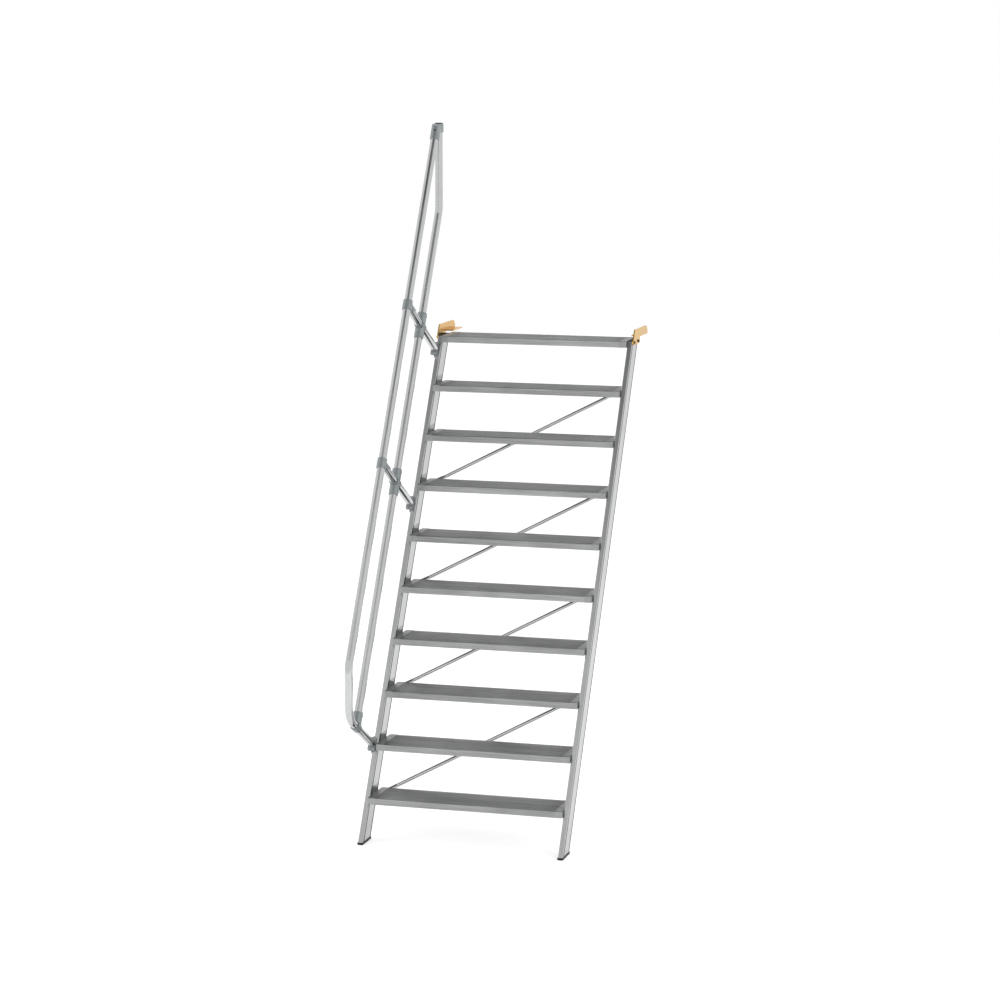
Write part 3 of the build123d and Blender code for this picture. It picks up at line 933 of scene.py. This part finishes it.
@dataclass
class Treads:
    """The ten treads with their cast ends, and the tie bars behind them."""

    layout: SettingOut
    count: int = 10
    tie_treads: int = 2
    tie_starts: tuple[int, ...] = (1, 3, 5, 7)
    tie_inset: float = 30.0
    tie_drop: float = 17.0
    tab_thickness: float = 5.0

    def build(self) -> None:
        """Dress the treads and tie bars and bolt the bars on."""
        dress(TREAD.material(), *(f"tread_{number:02d}" for number in range(1, self.count + 1)))
        dress(TREAD_END.material(), *(f"{side.word}_tread_ends" for side in Side))
        bars = len(self.tie_starts)
        dress(TIE_TUBE.material(), *(f"tie_bar_{number}" for number in range(1, bars + 1)))
        LOG.info("%d treads and %d tie bars dressed", self.count, bars)
        bolts = FastenerSet("tie_bar_bolts", ZINC.material(), "tie_bar")
        back = Vector((0.0, 1.0, 0.0))
        for start in self.tie_starts:
            for side, number in ((Side.LEFT, start), (Side.RIGHT, start + self.tie_treads)):
                x = side.value * (self.layout.step_width / 2 - self.tie_inset)
                y = self.layout.tread_back(number) + self.tab_thickness
                z = self.layout.tread_top(number) - self.tie_drop
                bolts.at(self.layout.place(x, y, z), back)
        bolts.build()


@dataclass
class GuardRail:
    """The tube guard rail with its connectors and post brackets, in millimetres.

    Bolt and screw places are pairs of distances from the middle of their bracket or connector.
    """

    layout: SettingOut
    rail_x: float = -530.0
    sleeve_radius: float = 24.5
    handrail_off: float = 546.0
    knee_off: float = 294.0
    foot_post: float = 523.0
    lower_post: float = 1820.0
    upper_post: float = 2690.0
    plate: float = 8.0
    cheek: float = 6.0
    plate_bolts: tuple[tuple[float, float], ...] = (
        (-11.0, -28.0), (11.0, -28.0), (-11.0, 28.0), (11.0, 28.0))
    cheek_bolts: tuple[tuple[float, float], ...] = ((-27.0, -31.0), (27.0, -31.0))
    screw_seat: float = 0.6
    cross_screw: float = 50.0
    end_screw: float = 55.0
    elbow_bolt_along: float = 3680.0
    elbow_bolt_aside: float = 2.0
    elbow_bolt_seat: float = 1.5

    def build(self) -> None:
        """Dress the tubes and connectors and add their screws."""
        dress(RAIL_TUBE.material(), "handrail", "knee_rail", "lower_post", "upper_post")
        casting = CONNECTOR.material()
        for level in ("lower", "upper"):
            dress(casting, f"{level}_handrail_tee", f"{level}_knee_cross", f"{level}_post_bracket")
        dress(casting, "foot_post_bracket", "knee_end_tee", "top_elbow")
        LOG.info("guard rail dressed")
        zinc = ZINC.material()
        self.bracket_bolts(zinc)
        self.connector_screws(zinc)
        self.elbow_bolt(DARK_BOLT.material())

    def bracket_bolts(self, finish: bpy.types.Material) -> None:
        """Bolt each post bracket to the front and the side of the stringer.

        Args:
            finish: Material of the bolts.
        """
        small = FastenerSet("post_bracket_screws", finish, "rail_casting", across=8.0, height=3.4,
                            washer=10.0, washer_height=0.9, seed=11)
        large = FastenerSet("post_bracket_bolts", finish, "rail_casting", seed=12)
        cheek_x = -(self.layout.step_width / 2 + self.layout.stringer_width + self.cheek)
        outward = Vector((-1.0, 0.0, 0.0))
        for post in (self.foot_post, self.lower_post, self.upper_post):
            for aside, step in self.plate_bolts:
                seat = self.layout.on_slope(post + step, self.plate, self.rail_x + aside)
                small.at(seat, self.layout.out())
            for step, depth in self.cheek_bolts:
                large.at(self.layout.on_slope(post + step, depth, cheek_x), outward)
        small.build()
        large.build()

    def connector_screws(self, finish: bpy.types.Material) -> None:
        """Set screws in the connectors, on the side that faces the stair.

        Args:
            finish: Material of the screws.
        """
        screws = FastenerSet("connector_screws", finish, "rail_casting", head=Head.ROUND,
                             across=9.0, height=2.2, washer=10.5, washer_height=0.8, recess=5.0,
                             seed=3)
        inward = Vector((1.0, 0.0, 0.0))
        x = self.rail_x + self.sleeve_radius - self.screw_seat
        spots = []
        for post in (self.lower_post, self.upper_post):
            spots.append((post, self.handrail_off))
            spots.append((post - self.cross_screw, self.knee_off))
            spots.append((post + self.cross_screw, self.knee_off))
        spots.append((self.foot_post + self.end_screw, self.knee_off))
        for along, off in spots:
            screws.at(self.layout.on_slope(along, off, x), inward)
        screws.build()

    def elbow_bolt(self, finish: bpy.types.Material) -> None:
        """Bolt the elbow to the end of the handrail, on its front.

        Args:
            finish: Material of the bolt.
        """
        bolt = FastenerSet("elbow_bolt", finish, "rail_casting", across=10.0, height=5.5,
                           washer=0.0, washer_height=0.0, seed=5)
        off = self.handrail_off + self.sleeve_radius - self.elbow_bolt_seat
        x = self.rail_x + self.elbow_bolt_aside
        bolt.at(self.layout.on_slope(self.elbow_bolt_along, off, x), self.layout.out())
        bolt.build()


@dataclass
class LandingBrackets:
    """The two golden brackets that hook over the landing."""

    def build(self) -> None:
        """Dress the brackets and their bolts."""
        dress(BRACKET_STEEL.material(), *(f"{side.word}_landing_bracket" for side in Side))
        dress(DARK_BOLT.material(), *(f"{side.word}_leg_bolts" for side in Side))
        LOG.info("landing brackets dressed")


@dataclass(frozen=True)
class Lamp:
    """A square soft lamp that hangs at an offset from what it lights, in metres and watts."""

    name: str
    offset: Triple
    power: float
    size: float = 8.0


@dataclass
class Studio:
    """Pale floor, soft light and the camera of the photograph.

    Places are in the stair's millimetres. The floor's radius, the lamps and the camera's reach are
    in metres. An edge is the range of heights, as the sine of the angle above the horizon, over
    which the room changes from one brightness to the next.
    """

    layout: SettingOut
    middle: Triple = (0.0, 800.0, 0.0)
    aim: Triple = (0.0, 800.0, 1200.0)
    floor_radius: float = 24.0
    floor_sides: int = 64
    floor_tone: float = 0.82
    floor_roughness: float = 0.9
    floor_specular: float = 0.1
    floor_glow: float = 0.53
    wall_edge: tuple[float, float] = (0.70, 0.80)
    wall_light: float = 1.0
    ceiling_light: float = 0.1
    patch_edge: tuple[float, float] = (0.92, 0.98)
    patch_light: float = 0.6
    lamps: tuple[Lamp, ...] = (Lamp("key", (8.0, -1.5, 6.5), 300.0),
                               Lamp("fill", (-8.5, -2.5, 5.5), 180.0))
    camera_at: Triple = (4273.8, -14182.1, 4086.0)
    azimuth: float = 15.9893
    elevation: float = 8.9463
    lens: float = 111.988
    sensor: float = 36.0
    reach: float = 200.0

    def build(self) -> None:
        """Make the floor, the light and the camera."""
        self.lay_floor()
        self.light_room()
        self.hang_lamps()
        self.stand_camera()
        bpy.context.scene.view_settings.view_transform = "Standard"

    def lay_floor(self) -> None:
        """Lay a plain pale floor that reads white and keeps the stair's shadow."""
        mesh = bpy.data.meshes.new("studio_floor")
        centre = self.layout.place(*self.middle)
        turns = (math.tau * step / self.floor_sides for step in range(self.floor_sides))
        corners = [centre + Vector((math.cos(turn), math.sin(turn), 0.0)) * self.floor_radius
                   for turn in turns]
        mesh.from_pydata(corners, [], [tuple(range(self.floor_sides))])
        floor = bpy.data.objects.new("studio_floor", mesh)
        bpy.context.scene.collection.objects.link(floor)
        material, graph, shader, _ = shaded("studio_white")
        shader.inputs["Base Color"].default_value = scaled((1.0, 1.0, 1.0), self.floor_tone)
        shader.inputs["Roughness"].default_value = self.floor_roughness
        shader.inputs["Specular IOR Level"].default_value = self.floor_specular
        shader.inputs["Emission Color"].default_value = WHITE
        rays = graph.add("ShaderNodeLightPath").outputs
        mirrored = graph.math("MAXIMUM", rays["Is Glossy Ray"], rays["Is Transmission Ray"])
        seen = graph.math("MAXIMUM", rays["Is Camera Ray"], mirrored)
        graph.link(graph.math("MULTIPLY", seen, self.floor_glow), shader, "Emission Strength")
        mesh.materials.append(material)

    def light_room(self) -> None:
        """Surround the stair with white walls, a dim ceiling and a lighter patch overhead."""
        world = bpy.data.worlds.new("studio_room")
        bpy.context.scene.world = world
        world.use_nodes = True
        graph = Graph(world.node_tree)
        background = world.node_tree.nodes["Background"]
        direction = graph.add("ShaderNodeTexCoord").outputs["Generated"]
        height = graph.add("ShaderNodeSeparateXYZ", {0: direction}).outputs[2]
        walls = graph.spread(height, *self.wall_edge, self.wall_light, self.ceiling_light)
        patch = graph.spread(height, *self.patch_edge, 0.0, self.patch_light)
        graph.link(graph.math("ADD", walls, patch), background, "Strength")
        background.inputs["Color"].default_value = WHITE

    def hang_lamps(self) -> None:
        """Hang the soft lamps where no reflection shows them."""
        target = self.layout.place(*self.aim)
        for lamp in self.lamps:
            light = bpy.data.lights.new(lamp.name + "_lamp", "AREA")
            light.shape = "SQUARE"
            light.size = lamp.size
            light.energy = lamp.power
            holder = bpy.data.objects.new(lamp.name + "_lamp", light)
            holder.visible_glossy = False
            offset = Vector(lamp.offset)
            self.aim_at(holder, target + offset, -offset)

    def stand_camera(self) -> None:
        """Stand the camera where the photograph was taken from."""
        turn, tilt = math.radians(self.azimuth), math.radians(self.elevation)
        level = math.cos(tilt)
        forward = Vector((-math.sin(turn) * level, math.cos(turn) * level, -math.sin(tilt)))
        lens = bpy.data.cameras.new("camera")
        lens.lens = self.lens
        lens.sensor_width = self.sensor
        lens.clip_end = self.reach
        holder = bpy.data.objects.new("camera", lens)
        place = self.layout.place(*self.camera_at)
        self.aim_at(holder, place, forward)
        bpy.context.scene.camera = holder
        LOG.info("camera at %s", tuple(round(value, 3) for value in place))

    @staticmethod
    def aim_at(holder: bpy.types.Object, place: Vector, forward: Vector) -> None:
        """Put a lamp or camera in the scene.

        Args:
            holder: The lamp or camera.
            place: Where it stands, in metres.
            forward: The way it looks.
        """
        turned = forward.to_track_quat("-Z", "Y").to_matrix().to_4x4()
        holder.matrix_world = Matrix.Translation(place) @ turned
        bpy.context.scene.collection.objects.link(holder)


def main() -> None:
    """Build and dress every part of the stair, then the studio."""
    logging.basicConfig(level=logging.INFO, format="%(name)s: %(message)s")
    parts = (Stringers(), Treads(LAYOUT), GuardRail(LAYOUT), LandingBrackets(), Studio(LAYOUT))
    for part in parts:
        part.build()


if __name__ == "__main__":
    main()
